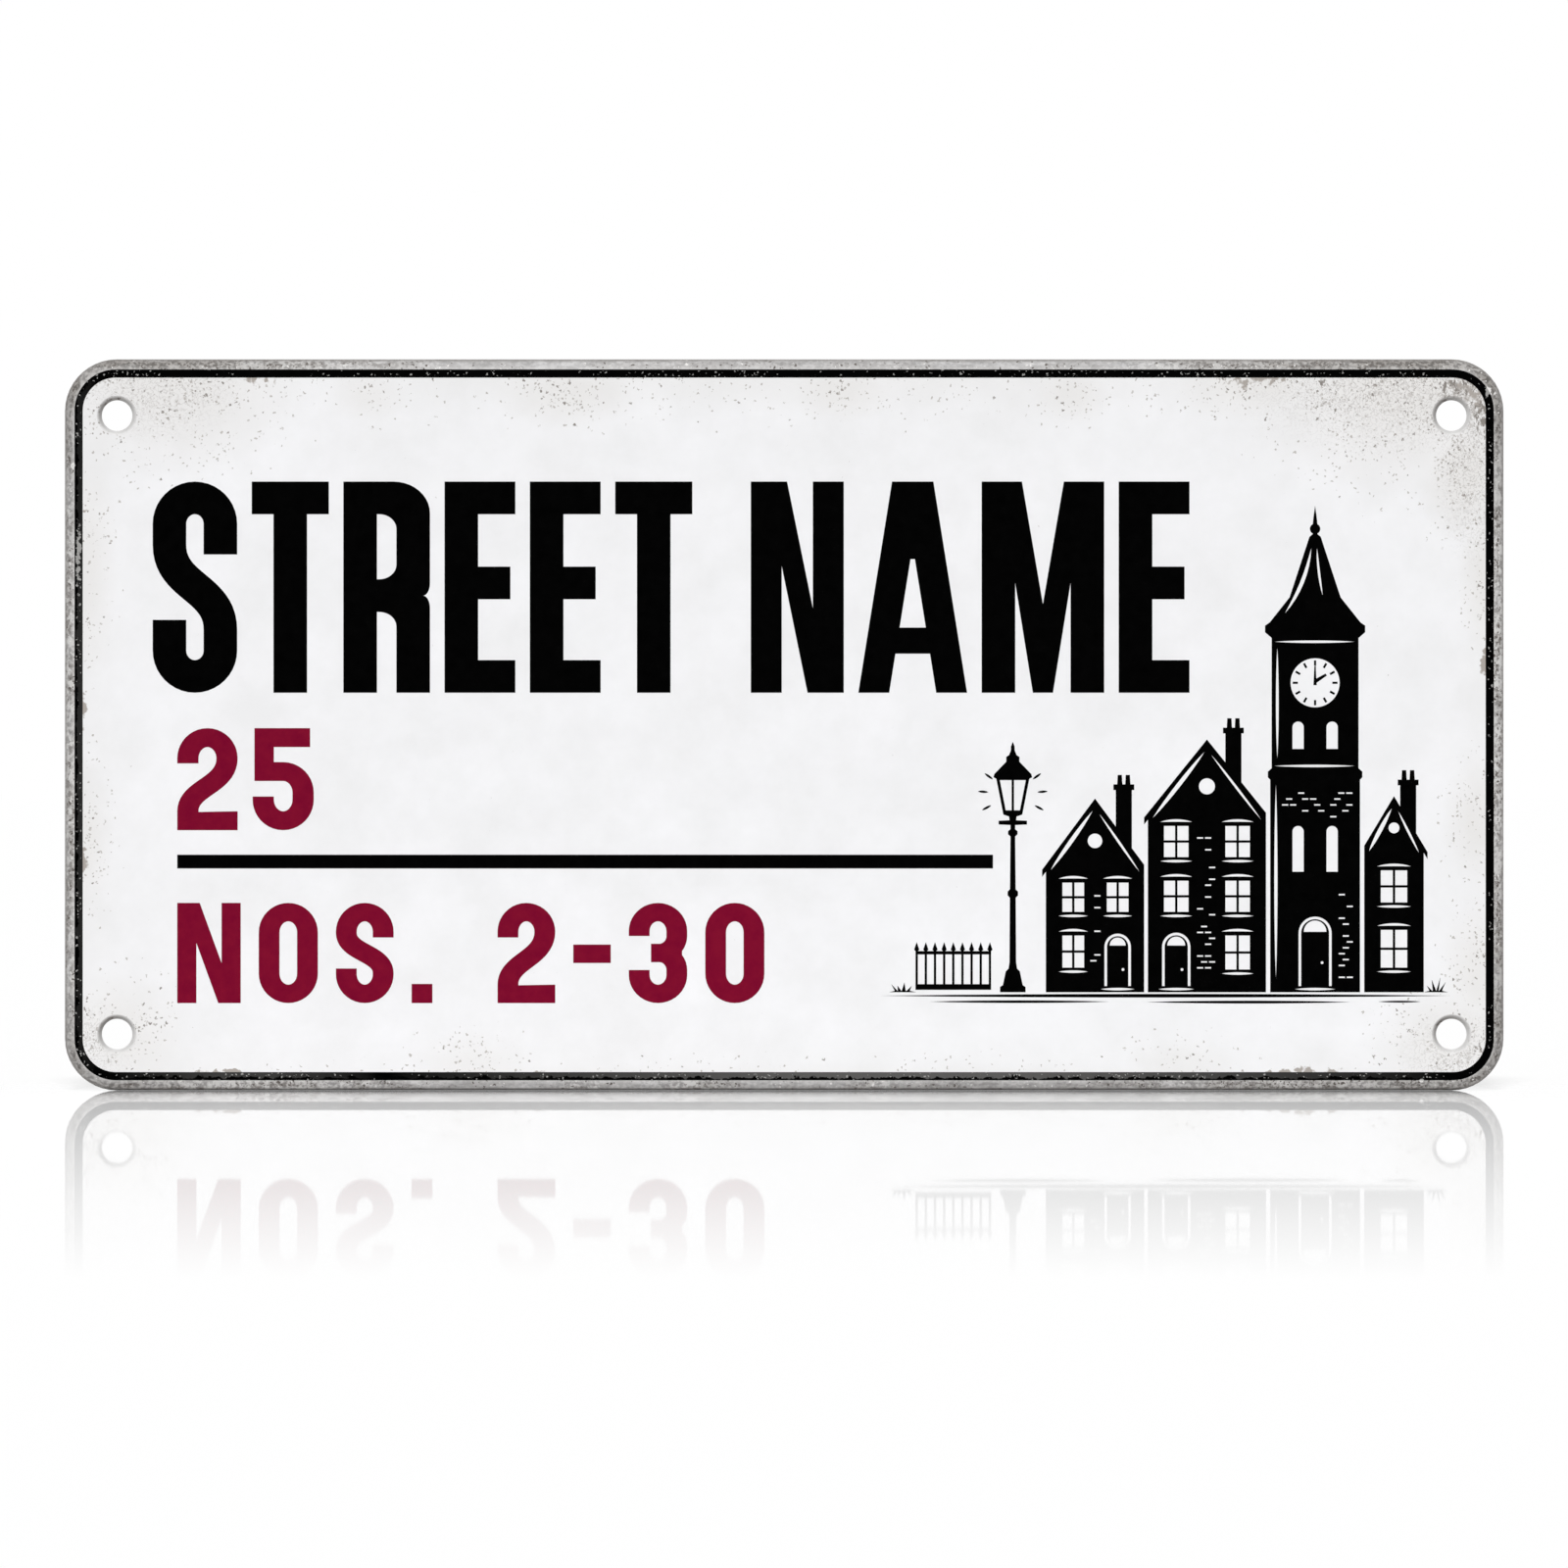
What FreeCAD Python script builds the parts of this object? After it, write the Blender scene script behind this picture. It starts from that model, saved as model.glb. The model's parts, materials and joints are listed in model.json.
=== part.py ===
import FreeCAD, Part
import math
import os
import Sketcher

# Street name sign pressed from one sheet of tinplate, in millimetres.
# X runs along the sign, Z is up and the front faces -Y. The wall is the plane Y = 0, so the flat
# front stands rim_depth in front of it, and the origin lies behind the middle of the sign.
#
# The sheet's edge is formed in one sweep round the outline: it rolls back over a round shoulder,
# runs down a short skirt, turns inwards onto the wall and ends in a hem, folded back on itself so
# that no raw edge can cut a hand. The four fixing holes are pierced and dimpled: the sheet slopes
# back round each hole and ends in a short collar, which stiffens it and leads the screw in.

DIMENSIONS = {
    # the outline of the sign
    "plate_width": 305.0,
    "plate_height": 155.0,
    "corner_radius": 11.0,
    "sheet_gauge": 0.3,
    # the rim, from the front face to the wall
    "rim_depth": 4.5,
    "shoulder_radius": 3.0,
    "bend_radius": 0.8,
    # the return that lies on the wall, and the hem at its free edge
    "return_width": 4.2,
    "hem_width": 2.0,
    "hem_gap": 0.3,
    # the fixing holes, each with a sloping dimple round it and a collar behind
    "hole_diameter": 6.5,
    "hole_inset_side": 11.2,
    "hole_inset_top": 12.0,
    "dimple_width": 0.9,
    "dimple_depth": 0.8,
    "collar_length": 0.6,
}

# sizes that follow from the ones above, as formulas of the sheet's cells
FORMULAS = {
    "half_width": "=plate_width / 2",
    "half_height": "=plate_height / 2",
    "hem_radius": "=sheet_gauge + hem_gap / 2",
    "hole_radius": "=hole_diameter / 2",
    "dimple_radius": "=hole_radius + dimple_width",
    "blank_radius": "=dimple_radius + sheet_gauge",
    "lip_depth": "=dimple_depth + collar_length",
    "hole_place_side": "=half_width - hole_inset_side",
    "hole_place_top": "=half_height - hole_inset_top",
}

# a sketch's own numbers for the points of a line or arc, and for its origin
START, END, CENTRE = range(1, 4)
ORIGIN_POINT = (-1, START)


def dimension_sheet(doc):
    """The driving dimensions, one to a row, with what follows from them below."""
    sheet = doc.addObject("Spreadsheet::Sheet", "Dimensions")
    for row, (alias, content) in enumerate({**DIMENSIONS, **FORMULAS}.items(), start=1):
        sheet.set(f"A{row}", alias)
        sheet.set(f"B{row}", str(content))
        sheet.setAlias(f"B{row}", alias)
    doc.recompute()
    return sheet


def origin_plane(body, role):
    return next(plane for plane in body.Origin.OriginFeatures if plane.Role == role)


def sketch_on(body, name, role):
    sketch = body.newObject("Sketcher::SketchObject", name)
    sketch.AttachmentSupport = [(origin_plane(body, role), "")]
    sketch.MapMode = "FlatFace"
    return sketch


def dimension(sketch, name, formula, kind, *places):
    """Add a dimension that follows a formula of the sheet's cells."""
    value = float(sketch.evalExpression(formula))
    index = sketch.addConstraint(Sketcher.Constraint(kind, *places, value))
    sketch.renameConstraint(index, name)
    sketch.setExpression(f"Constraints.{name}", formula)


def constrain(sketch, kind, *places):
    sketch.addConstraint(Sketcher.Constraint(kind, *places))


def line(sketch, start, end):
    points = [FreeCAD.Vector(x, y, 0) for x, y in (start, end)]
    return sketch.addGeometry(Part.LineSegment(*points))


def arc(sketch, centre, radius, start_degrees, end_degrees):
    circle = Part.Circle(FreeCAD.Vector(*centre, 0), FreeCAD.Vector(0, 0, 1), radius)
    angles = [math.radians(angle) for angle in (start_degrees, end_degrees)]
    return sketch.addGeometry(Part.ArcOfCircle(circle, *angles))


def rounded_rectangle(sketch, half_width, half_height, radius):
    """A rectangle centred on the sketch's origin with equal round corners, from three formulas."""
    w, h, r = (float(sketch.evalExpression(formula)) for formula in (half_width, half_height, radius))
    sides = [
        line(sketch, (w - r, h), (r - w, h)),
        line(sketch, (-w, h - r), (-w, r - h)),
        line(sketch, (r - w, -h), (w - r, -h)),
        line(sketch, (w, r - h), (w, h - r)),
    ]
    corners = [
        arc(sketch, (r - w, h - r), r, 90, 180),
        arc(sketch, (r - w, r - h), r, 180, 270),
        arc(sketch, (w - r, r - h), r, 270, 360),
        arc(sketch, (w - r, h - r), r, 0, 90),
    ]
    for side, corner, next_side in zip(sides, corners, sides[1:] + sides[:1]):
        constrain(sketch, "Tangent", side, END, corner, START)
        constrain(sketch, "Tangent", corner, END, next_side, START)
    for side, direction in zip(sides, ("Horizontal", "Vertical", "Horizontal", "Vertical")):
        constrain(sketch, direction, side)
    for corner in corners[1:]:
        constrain(sketch, "Equal", corners[0], corner)
    dimension(sketch, "corner", radius, "Radius", corners[0])
    top, left, bottom, right = sides
    dimension(sketch, "top", half_height, "DistanceY", *ORIGIN_POINT, top, START)
    dimension(sketch, "bottom", half_height, "DistanceY", bottom, START, *ORIGIN_POINT)
    dimension(sketch, "right", half_width, "DistanceX", *ORIGIN_POINT, right, START)
    dimension(sketch, "left", half_width, "DistanceX", left, START, *ORIGIN_POINT)


def rim_outline(body):
    """The outer edge of the sign, which the rim's section runs round."""
    sketch = sketch_on(body, "RimOutline", "XZ_Plane")
    rounded_rectangle(
        sketch, "Dimensions.half_width", "Dimensions.half_height", "Dimensions.corner_radius"
    )
    return sketch


def rim_section(body, size):
    """The formed edge, cut through the middle of the top: shoulder, skirt, return and hem.

    The outer skin is drawn from the front face to the raw edge, then the inner skin, one gauge
    away and round the same centres, back to the front.
    """
    sketch = sketch_on(body, "RimSection", "YZ_Plane")
    top, front, gauge = size.half_height, -size.rim_depth, size.sheet_gauge
    shoulder, bend, hem = size.shoulder_radius, size.bend_radius, size.hem_radius
    nose = top - size.return_width + hem
    raw_edge = top - size.return_width + size.hem_width

    shoulder_outer = arc(sketch, (front + shoulder, top - shoulder), shoulder, 90, 180)
    skirt_outer = line(sketch, (front + shoulder, top), (-bend, top))
    bend_outer = arc(sketch, (-bend, top - bend), bend, 0, 90)
    return_outer = line(sketch, (0, top - bend), (0, nose))
    hem_outer = arc(sketch, (-hem, nose), hem, 180, 360)
    fold_outer = line(sketch, (-2 * hem, nose), (-2 * hem, raw_edge))
    raw = line(sketch, (-2 * hem, raw_edge), (gauge - 2 * hem, raw_edge))
    fold_inner = line(sketch, (gauge - 2 * hem, raw_edge), (gauge - 2 * hem, nose))
    hem_inner = arc(sketch, (-hem, nose), hem - gauge, 180, 360)
    return_inner = line(sketch, (-gauge, nose), (-gauge, top - bend))
    bend_inner = arc(sketch, (-bend, top - bend), bend - gauge, 0, 90)
    skirt_inner = line(sketch, (-bend, top - gauge), (front + shoulder, top - gauge))
    shoulder_inner = arc(sketch, (front + shoulder, top - shoulder), shoulder - gauge, 90, 180)
    face_joint = line(sketch, (front + gauge, top - shoulder), (front, top - shoulder))

    tangent_joints = [
        (shoulder_outer, START, skirt_outer, START),
        (skirt_outer, END, bend_outer, END),
        (bend_outer, START, return_outer, START),
        (return_outer, END, hem_outer, END),
        (hem_outer, START, fold_outer, START),
        (fold_inner, END, hem_inner, START),
        (hem_inner, END, return_inner, START),
        (return_inner, END, bend_inner, START),
        (bend_inner, END, skirt_inner, START),
        (skirt_inner, END, shoulder_inner, START),
    ]
    plain_joints = [
        (fold_outer, END, raw, START),
        (raw, END, fold_inner, START),
        (shoulder_inner, END, face_joint, START),
        (face_joint, END, shoulder_outer, END),
        (shoulder_inner, CENTRE, shoulder_outer, CENTRE),
        (bend_inner, CENTRE, bend_outer, CENTRE),
        (hem_inner, CENTRE, hem_outer, CENTRE),
    ]
    for joint in tangent_joints:
        constrain(sketch, "Tangent", *joint)
    for joint in plain_joints:
        constrain(sketch, "Coincident", *joint)
    for side in (skirt_outer, raw, face_joint):
        constrain(sketch, "Horizontal", side)
    for side in (return_outer, fold_outer, fold_inner):
        constrain(sketch, "Vertical", side)
    constrain(sketch, "Horizontal", shoulder_outer, CENTRE, shoulder_outer, END)
    constrain(sketch, "Vertical", *ORIGIN_POINT, return_outer, START)

    gauge_cell = "Dimensions.sheet_gauge"
    for name, outer, inner, cell in (
        ("shoulder", shoulder_outer, shoulder_inner, "Dimensions.shoulder_radius"),
        ("bend", bend_outer, bend_inner, "Dimensions.bend_radius"),
        ("hem", hem_outer, hem_inner, "Dimensions.hem_radius"),
    ):
        dimension(sketch, f"{name}_outer", cell, "Radius", outer)
        dimension(sketch, f"{name}_inner", f"{cell} - {gauge_cell}", "Radius", inner)
    dimension(sketch, "depth", "Dimensions.rim_depth", "DistanceX", face_joint, END, *ORIGIN_POINT)
    dimension(sketch, "edge", "Dimensions.half_height", "DistanceY", *ORIGIN_POINT, skirt_outer, START)
    nose_to_edge = [hem_outer, CENTRE, skirt_outer, START]
    nose_width = "Dimensions.return_width - Dimensions.hem_radius"
    dimension(sketch, "nose", nose_width, "DistanceY", *nose_to_edge)
    nose_to_raw = [hem_outer, CENTRE, raw, START]
    fold_width = "Dimensions.hem_width - Dimensions.hem_radius"
    dimension(sketch, "fold", fold_width, "DistanceY", *nose_to_raw)
    return sketch


def formed_rim(body, size):
    """The section swept once round the outline."""
    outline = rim_outline(body)
    section = rim_section(body, size)
    rim = body.newObject("PartDesign::AdditivePipe", "FormedRim")
    rim.Profile = section
    rim.Spine = outline
    section.Visibility = outline.Visibility = False
    return rim


def pierced_face(body):
    """The flat of the sign inside the shoulder, cut away where the hole lips are formed."""
    sketch = sketch_on(body, "FaceOutline", "XZ_Plane")
    sketch.setExpression("AttachmentOffset.Base.z", "Dimensions.rim_depth")
    rounded_rectangle(
        sketch,
        "Dimensions.half_width - Dimensions.shoulder_radius",
        "Dimensions.half_height - Dimensions.shoulder_radius",
        "Dimensions.corner_radius - Dimensions.shoulder_radius",
    )
    side = float(sketch.evalExpression("Dimensions.hole_place_side"))
    top = float(sketch.evalExpression("Dimensions.hole_place_top"))
    radius = float(sketch.evalExpression("Dimensions.blank_radius"))
    for name, x_sign, z_sign in (
        ("top_left", -1, 1),
        ("top_right", 1, 1),
        ("bottom_left", -1, -1),
        ("bottom_right", 1, -1),
    ):
        centre = FreeCAD.Vector(x_sign * side, z_sign * top, 0)
        hole = sketch.addGeometry(Part.Circle(centre, FreeCAD.Vector(0, 0, 1), radius))
        across = [*ORIGIN_POINT, hole, CENTRE] if x_sign > 0 else [hole, CENTRE, *ORIGIN_POINT]
        up = [*ORIGIN_POINT, hole, CENTRE] if z_sign > 0 else [hole, CENTRE, *ORIGIN_POINT]
        dimension(sketch, f"{name}_across", "Dimensions.hole_place_side", "DistanceX", *across)
        dimension(sketch, f"{name}_up", "Dimensions.hole_place_top", "DistanceY", *up)
        dimension(sketch, f"{name}_radius", "Dimensions.blank_radius", "Radius", hole)
    face = body.newObject("PartDesign::Pad", "PiercedFace")
    face.Profile = sketch
    face.Reversed = True
    face.setExpression("Length", "Dimensions.sheet_gauge")
    sketch.Visibility = False
    return face


def hole_lip(body, size):
    """The lip of the top right hole, turned round the hole's axis.

    The section runs down the sheet's front, over the dimple's slope and along the collar, and comes
    back one gauge behind it to the cut edge of the flat.
    """
    sketch = sketch_on(body, "LipSection", "XY_Plane")
    sketch.setExpression("AttachmentOffset.Base.x", "Dimensions.hole_place_side")
    sketch.setExpression("AttachmentOffset.Base.z", "Dimensions.hole_place_top")
    gauge, front, back = size.sheet_gauge, -size.rim_depth, size.lip_depth - size.rim_depth
    bore, rim, blank = size.hole_radius, size.dimple_radius, size.blank_radius
    width, depth = size.dimple_width, size.dimple_depth
    slope = math.hypot(width, depth)
    back_rim = rim + gauge * (slope - width) / depth
    back_foot = front + gauge + (back_rim - bore - gauge) * depth / width

    slope_front = line(sketch, (rim, front), (bore, front + depth))
    bore_wall = line(sketch, (bore, front + depth), (bore, back))
    collar_end = line(sketch, (bore, back), (bore + gauge, back))
    collar_wall = line(sketch, (bore + gauge, back), (bore + gauge, back_foot))
    slope_back = line(sketch, (bore + gauge, back_foot), (back_rim, front + gauge))
    flat_back = line(sketch, (back_rim, front + gauge), (blank, front + gauge))
    cut_edge = line(sketch, (blank, front + gauge), (blank, front))
    flat_front = line(sketch, (blank, front), (rim, front))

    sides = [
        slope_front,
        bore_wall,
        collar_end,
        collar_wall,
        slope_back,
        flat_back,
        cut_edge,
        flat_front,
    ]
    for side, next_side in zip(sides, sides[1:] + sides[:1]):
        constrain(sketch, "Coincident", side, END, next_side, START)
    for side in (bore_wall, collar_wall, cut_edge):
        constrain(sketch, "Vertical", side)
    for side in (collar_end, flat_back, flat_front):
        constrain(sketch, "Horizontal", side)
    constrain(sketch, "Parallel", slope_front, slope_back)
    gauge_cell = "Dimensions.sheet_gauge"
    dimension(sketch, "slope_gauge", gauge_cell, "Distance", slope_front, START, slope_back)
    dimension(sketch, "collar_gauge", gauge_cell, "DistanceX", collar_end, START, collar_end, END)
    dimension(sketch, "flat_gauge", gauge_cell, "DistanceY", cut_edge, END, cut_edge, START)
    for name, cell, side in (
        ("bore", "hole_radius", bore_wall),
        ("rim", "dimple_radius", slope_front),
        ("blank", "blank_radius", cut_edge),
    ):
        dimension(sketch, name, f"Dimensions.{cell}", "DistanceX", *ORIGIN_POINT, side, START)
    dimension(sketch, "front", "Dimensions.rim_depth", "DistanceY", flat_front, END, *ORIGIN_POINT)
    dimple = [slope_front, START, slope_front, END]
    dimension(sketch, "dimple", "Dimensions.dimple_depth", "DistanceY", *dimple)
    collar = [bore_wall, START, bore_wall, END]
    dimension(sketch, "collar", "Dimensions.collar_length", "DistanceY", *collar)

    lip = body.newObject("PartDesign::Revolution", "HoleLip")
    lip.Profile = sketch
    lip.ReferenceAxis = (sketch, ["V_Axis"])
    lip.Angle = 360
    sketch.Visibility = False
    return lip


def lips_at_all_corners(body, lip):
    """The same lip mirrored to the other three corners."""
    lips = body.newObject("PartDesign::MultiTransform", "HoleLips")
    lips.Originals = [lip]
    mirrors = []
    for name, role in (("AcrossTheMiddle", "YZ_Plane"), ("TopToBottom", "XY_Plane")):
        mirror = body.newObject("PartDesign::Mirrored", name)
        mirror.MirrorPlane = (origin_plane(body, role), [""])
        mirrors.append(mirror)
    lips.Transformations = mirrors
    return lips


def sign_plate(doc, size):
    body = doc.addObject("PartDesign::Body", "SignPlate")
    body.Label = "sign_plate"
    formed_rim(body, size)
    pierced_face(body)
    lip = hole_lip(body, size)
    doc.recompute()
    body.Tip = lips_at_all_corners(body, lip)
    return body


def check(doc, bodies):
    """Stop before anything is written if a feature failed or a solid isn't sound."""
    for feature in doc.Objects:
        if "Invalid" in feature.State or "Error" in feature.State:
            raise RuntimeError(f"{feature.Name} did not compute: {feature.State}")
        if feature.isDerivedFrom("Sketcher::SketchObject") and not feature.FullyConstrained:
            raise RuntimeError(f"{feature.Name} is not fully constrained")
    for body in bodies:
        shape = body.Shape
        if shape.isNull() or not shape.isValid() or len(shape.Solids) != 1:
            raise RuntimeError(f"{body.Label} is not one sound solid")


def main():
    doc = FreeCAD.newDocument("StreetNameSign")
    size = dimension_sheet(doc)
    bodies = [sign_plate(doc, size)]
    doc.recompute()
    check(doc, bodies)
    os.makedirs("parts", exist_ok=True)
    for body in bodies:
        body.Shape.exportStep(f"parts/{body.Label}.step")
        box = body.Shape.optimalBoundingBox()
        print(f"{body.Label}: {box.XLength:.2f} x {box.YLength:.2f} x {box.ZLength:.2f} mm,", end=" ")
        print(f"{body.Shape.Volume:.1f} mm3, {len(body.Shape.Faces)} faces")


main()
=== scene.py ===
import json
import math
import random

import bpy
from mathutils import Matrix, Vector


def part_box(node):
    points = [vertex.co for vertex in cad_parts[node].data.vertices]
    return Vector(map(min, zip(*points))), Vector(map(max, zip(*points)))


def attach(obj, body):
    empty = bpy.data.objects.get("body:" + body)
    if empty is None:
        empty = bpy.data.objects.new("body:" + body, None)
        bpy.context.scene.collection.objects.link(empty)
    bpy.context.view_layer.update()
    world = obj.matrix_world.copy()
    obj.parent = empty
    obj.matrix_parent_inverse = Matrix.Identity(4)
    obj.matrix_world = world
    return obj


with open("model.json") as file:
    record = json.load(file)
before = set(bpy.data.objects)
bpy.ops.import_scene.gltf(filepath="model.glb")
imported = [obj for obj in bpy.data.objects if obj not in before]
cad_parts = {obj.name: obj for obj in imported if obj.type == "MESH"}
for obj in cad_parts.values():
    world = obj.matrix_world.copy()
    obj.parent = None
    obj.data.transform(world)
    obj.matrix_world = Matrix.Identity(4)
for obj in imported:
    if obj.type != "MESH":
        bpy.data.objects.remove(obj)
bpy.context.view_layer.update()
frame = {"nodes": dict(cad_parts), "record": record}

# The looks of a pressed tinplate street name sign. Outlines and patterns are drawn in millimetres in
# the frame's own axes, x along the sign and z up, and go to metres when they become meshes.

MM = 0.001

LOW, HIGH = (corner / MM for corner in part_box("sign_plate"))
WIDTH, HEIGHT = HIGH.x - LOW.x, HIGH.z - LOW.z
FRONT = LOW.y

# the pressed sheet, as its source forms it
CORNER_RADIUS = 11.0
SHOULDER_RADIUS = 3.0
BEND_RADIUS = 0.8
SHEET_GAUGE = 0.3

# the fixing holes, from the record's bolt pattern
HOLES = next(mount for mount in frame["record"]["mounts"] if mount["name"] == "fixing_holes")["dims"]
HOLE_X, HOLE_Z = HOLES["spacing_x_mm"] / 2, HOLES["spacing_y_mm"] / 2
HOLE_RADIUS = HOLES["hole_r_mm"]
LIP_WIDTH = 0.9

# the print, and the line round it
INK_THICKNESS = 0.02
BORDER_INSET, BORDER_WIDTH = 2.25, 1.73


# Outlines: lists of points that close on themselves. curve and arc give parts of one.

ARC_DEGREES = 9
CURVE_STEPS = 20
BRUSH_STEPS = 8


def curve(start, start_handle, end_handle, end):
    """Points along a Bezier curve."""
    points = []
    for step in range(CURVE_STEPS + 1):
        t = step / CURVE_STEPS
        weights = (1 - t) ** 3, 3 * t * (1 - t) ** 2, 3 * t * t * (1 - t), t**3
        knots = start, start_handle, end_handle, end
        points.append(tuple(sum(w * k[axis] for w, k in zip(weights, knots)) for axis in (0, 1)))
    return points


def arc(centre, radii, start, end):
    """Points along part of an ellipse, from one angle to another in degrees."""
    steps = round(abs(end - start) / ARC_DEGREES)
    angles = [math.radians(start + (end - start) * step / steps) for step in range(steps + 1)]
    return [(centre[0] + radii[0] * math.cos(a), centre[1] + radii[1] * math.sin(a)) for a in angles]


def circle(centre, radius):
    return arc(centre, (radius, radius), 0, 360)[:-1]


def box(left, bottom, right, top):
    return [(left, bottom), (right, bottom), (right, top), (left, top)]


def moved(outline, dx, dz):
    return [(x + dx, z + dz) for x, z in outline]


def mirrored(profile, middle):
    """A closed outline from the right half of it, given as half widths and heights."""
    right = [(middle + reach, z) for reach, z in profile]
    left = [(middle - reach, z) for reach, z in reversed(profile) if reach > 0]
    return right + left


def oval_pen(path, stem, bar):
    """Both sides of a line drawn with an oval pen, stem wide and bar high, the left side first."""
    left, right = [], []
    for before, (x, z), after in zip(path[:1] + path, path, path[1:] + path[-1:]):
        across, up = before[1] - after[1], after[0] - before[0]
        reach = 2 * math.hypot(stem * across, bar * up)
        dx, dz = stem * stem * across / reach, bar * bar * up / reach
        left.append((x + dx, z + dz))
        right.append((x - dx, z - dz))
    return left, right


def brush(start, end, width, bow=0.0):
    """A brush stroke that swells from a fine point and back to one, bowed to its left."""
    length = math.dist(start, end)
    along = [(end[axis] - start[axis]) / length for axis in (0, 1)]
    upper, lower = [], []
    for step in range(BRUSH_STEPS + 1):
        t = step / BRUSH_STEPS
        half = width / 2 * math.sin(math.pi * t) ** 0.7
        for side, reach in ((upper, half), (lower, -half)):
            out = 4 * bow * t * (1 - t) + reach
            x = start[0] + along[0] * t * length - along[1] * out
            side.append((x, start[1] + along[1] * t * length + along[0] * out))
    return upper + lower[-2:0:-1]


# Lettering: a bold condensed sans serif. Each character is drawn for a width, a height, the width of
# its stems and the height of its bars, and its own proportions are shares of those.


def letter_a(width, height, stem, bar):
    crown, leg = 0.38 * width, 0.92 * stem
    foot = (width - crown) / 2
    slope = foot / height
    low = 0.185 * height
    high = low + 0.8 * bar
    blunt = 0.02 * width
    peak = (width / 2 - blunt - leg) / slope
    low_x, high_x = leg + slope * low, leg + slope * high
    outer = [(0, 0), (foot, height), (width - foot, height), (width, 0), (width - leg, 0)]
    outer += [(width - low_x, low), (low_x, low), (leg, 0)]
    counter = [(high_x, high), (width - high_x, high)]
    counter += [(width / 2 + blunt, peak), (width / 2 - blunt, peak)]
    return [outer, counter]


def letter_e(width, height, stem, bar):
    tongue, low = 0.93 * width, 0.52 * height - bar / 2
    outline = [(0, 0), (width, 0), (width, bar), (stem, bar), (stem, low), (tongue, low)]
    outline += [(tongue, low + bar), (stem, low + bar), (stem, height - bar), (width, height - bar)]
    return [outline + [(width, height), (0, height)]]


def letter_m(width, height, stem, bar):
    slant, blunt, middle = 1.2 * stem, 0.3 * stem, width / 2
    crotch, valley = 0.52 * height, 0.42 * height
    half = [(blunt, 0), (middle - stem, crotch), (middle - stem, 0), (middle, 0), (middle, height)]
    return [mirrored(half + [(middle - slant, height), (0, valley)], middle)]


def letter_n(width, height, stem, bar):
    thin, slant, crotch = 0.92 * stem, 1.08 * stem, 0.4 * height
    left = [(0, height), (0, 0), (thin, 0), (thin, height - crotch), (width - slant, 0)]
    return [left + [(width - x, height - z) for x, z in left]]


def letter_o(width, height, stem, bar):
    """An upright oval with straight sides and round ends."""
    outlines = []
    for side, end in ((0, 0), (stem, bar)):
        radii = (width / 2 - side, width / 2 - end)
        outlines.append(
            arc((width / 2, width / 2), radii, 180, 360)
            + arc((width / 2, height - width / 2), radii, 0, 180)
        )
    return outlines


def letter_r(width, height, stem, bar):
    waist, notch = 0.46 * height, 0.08 * width
    turn, inner_turn = (0.42 * width, 0.15 * height), (0.2 * width, 0.07 * height)
    hip = (notch, 0.06 * height)
    low, high = waist - bar / 2, waist + bar / 2
    inner_x = width - stem - inner_turn[0]
    outer = [(0, 0), (stem, 0), (stem, low)] + arc((inner_x, low - inner_turn[1]), inner_turn, 90, 0)
    outer += [(width - stem, 0), (width, 0)] + arc((width - notch, waist - hip[1]), hip, 0, 90)
    outer += arc((width - notch, waist + hip[1]), hip, -90, 0)
    outer += arc((width - turn[0], height - turn[1]), turn, 0, 90) + [(0, height)]
    counter = [(stem, high)] + arc((inner_x, high + inner_turn[1]), inner_turn, -90, 0)
    counter += arc((inner_x, height - bar - inner_turn[1]), inner_turn, 0, 90) + [(stem, height - bar)]
    return [outer, counter]


def letter_s(width, height, stem, bar):
    low, high = stem / 2, width - stem / 2
    turn = ((width - stem) / 2, (width - bar) / 2)
    path = [(high, 0.655 * height)] + arc((width / 2, height - width / 2), turn, 0, 180)
    spine = (low, 0.7 * height), (low, 0.5 * height), (high, 0.5 * height), (high, 0.3 * height)
    path += curve(*spine) + arc((width / 2, width / 2), turn, 0, -180) + [(low, 0.345 * height)]
    left, right = oval_pen(path, stem, bar)
    return [left + right[::-1]]


def letter_t(width, height, stem, bar):
    low, high = (width - stem) / 2, (width + stem) / 2
    outline = [(low, 0), (high, 0), (high, height - bar), (width, height - bar), (width, height)]
    return [outline + [(0, height), (0, height - bar), (low, height - bar)]]


def figure_2(width, height, stem, bar):
    low, high, top = stem / 2, width - stem / 2, height - width / 2
    turn = ((width - stem) / 2, (width - bar) / 2)
    path = [(low, 0.655 * height)] + arc((width / 2, top), turn, 180, 0)
    path += curve((high, top), (high, top - 0.27 * height), (low, 0.42 * height), (low, bar))
    left, right = oval_pen(path, stem, bar)
    return [right + [(0, 0), (width, 0), (width, bar)] + left[::-1]]


def figure_3(width, height, stem, bar):
    """Two bowls that meet at the waist, the lower one the upper one turned over."""
    low, waist, bowl_x = stem / 2, height / 2, 0.52 * width
    top_turn = ((width - stem) / 2, 0.19 * height)
    waist_turn = (width - stem / 2 - bowl_x, 0.17 * height)
    hook = [(low, 0.67 * height)] + arc((width / 2, height - bar / 2 - top_turn[1]), top_turn, 180, 0)
    hook += arc((bowl_x, waist + waist_turn[1]), waist_turn, 0, -90) + [(0.38 * width, waist)]
    left, right = oval_pen(hook, stem, bar)
    upper = right[::-1] + [point for point in left if point[1] > waist]
    return [upper + [(x, height - z) for x, z in reversed(upper)]]


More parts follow.
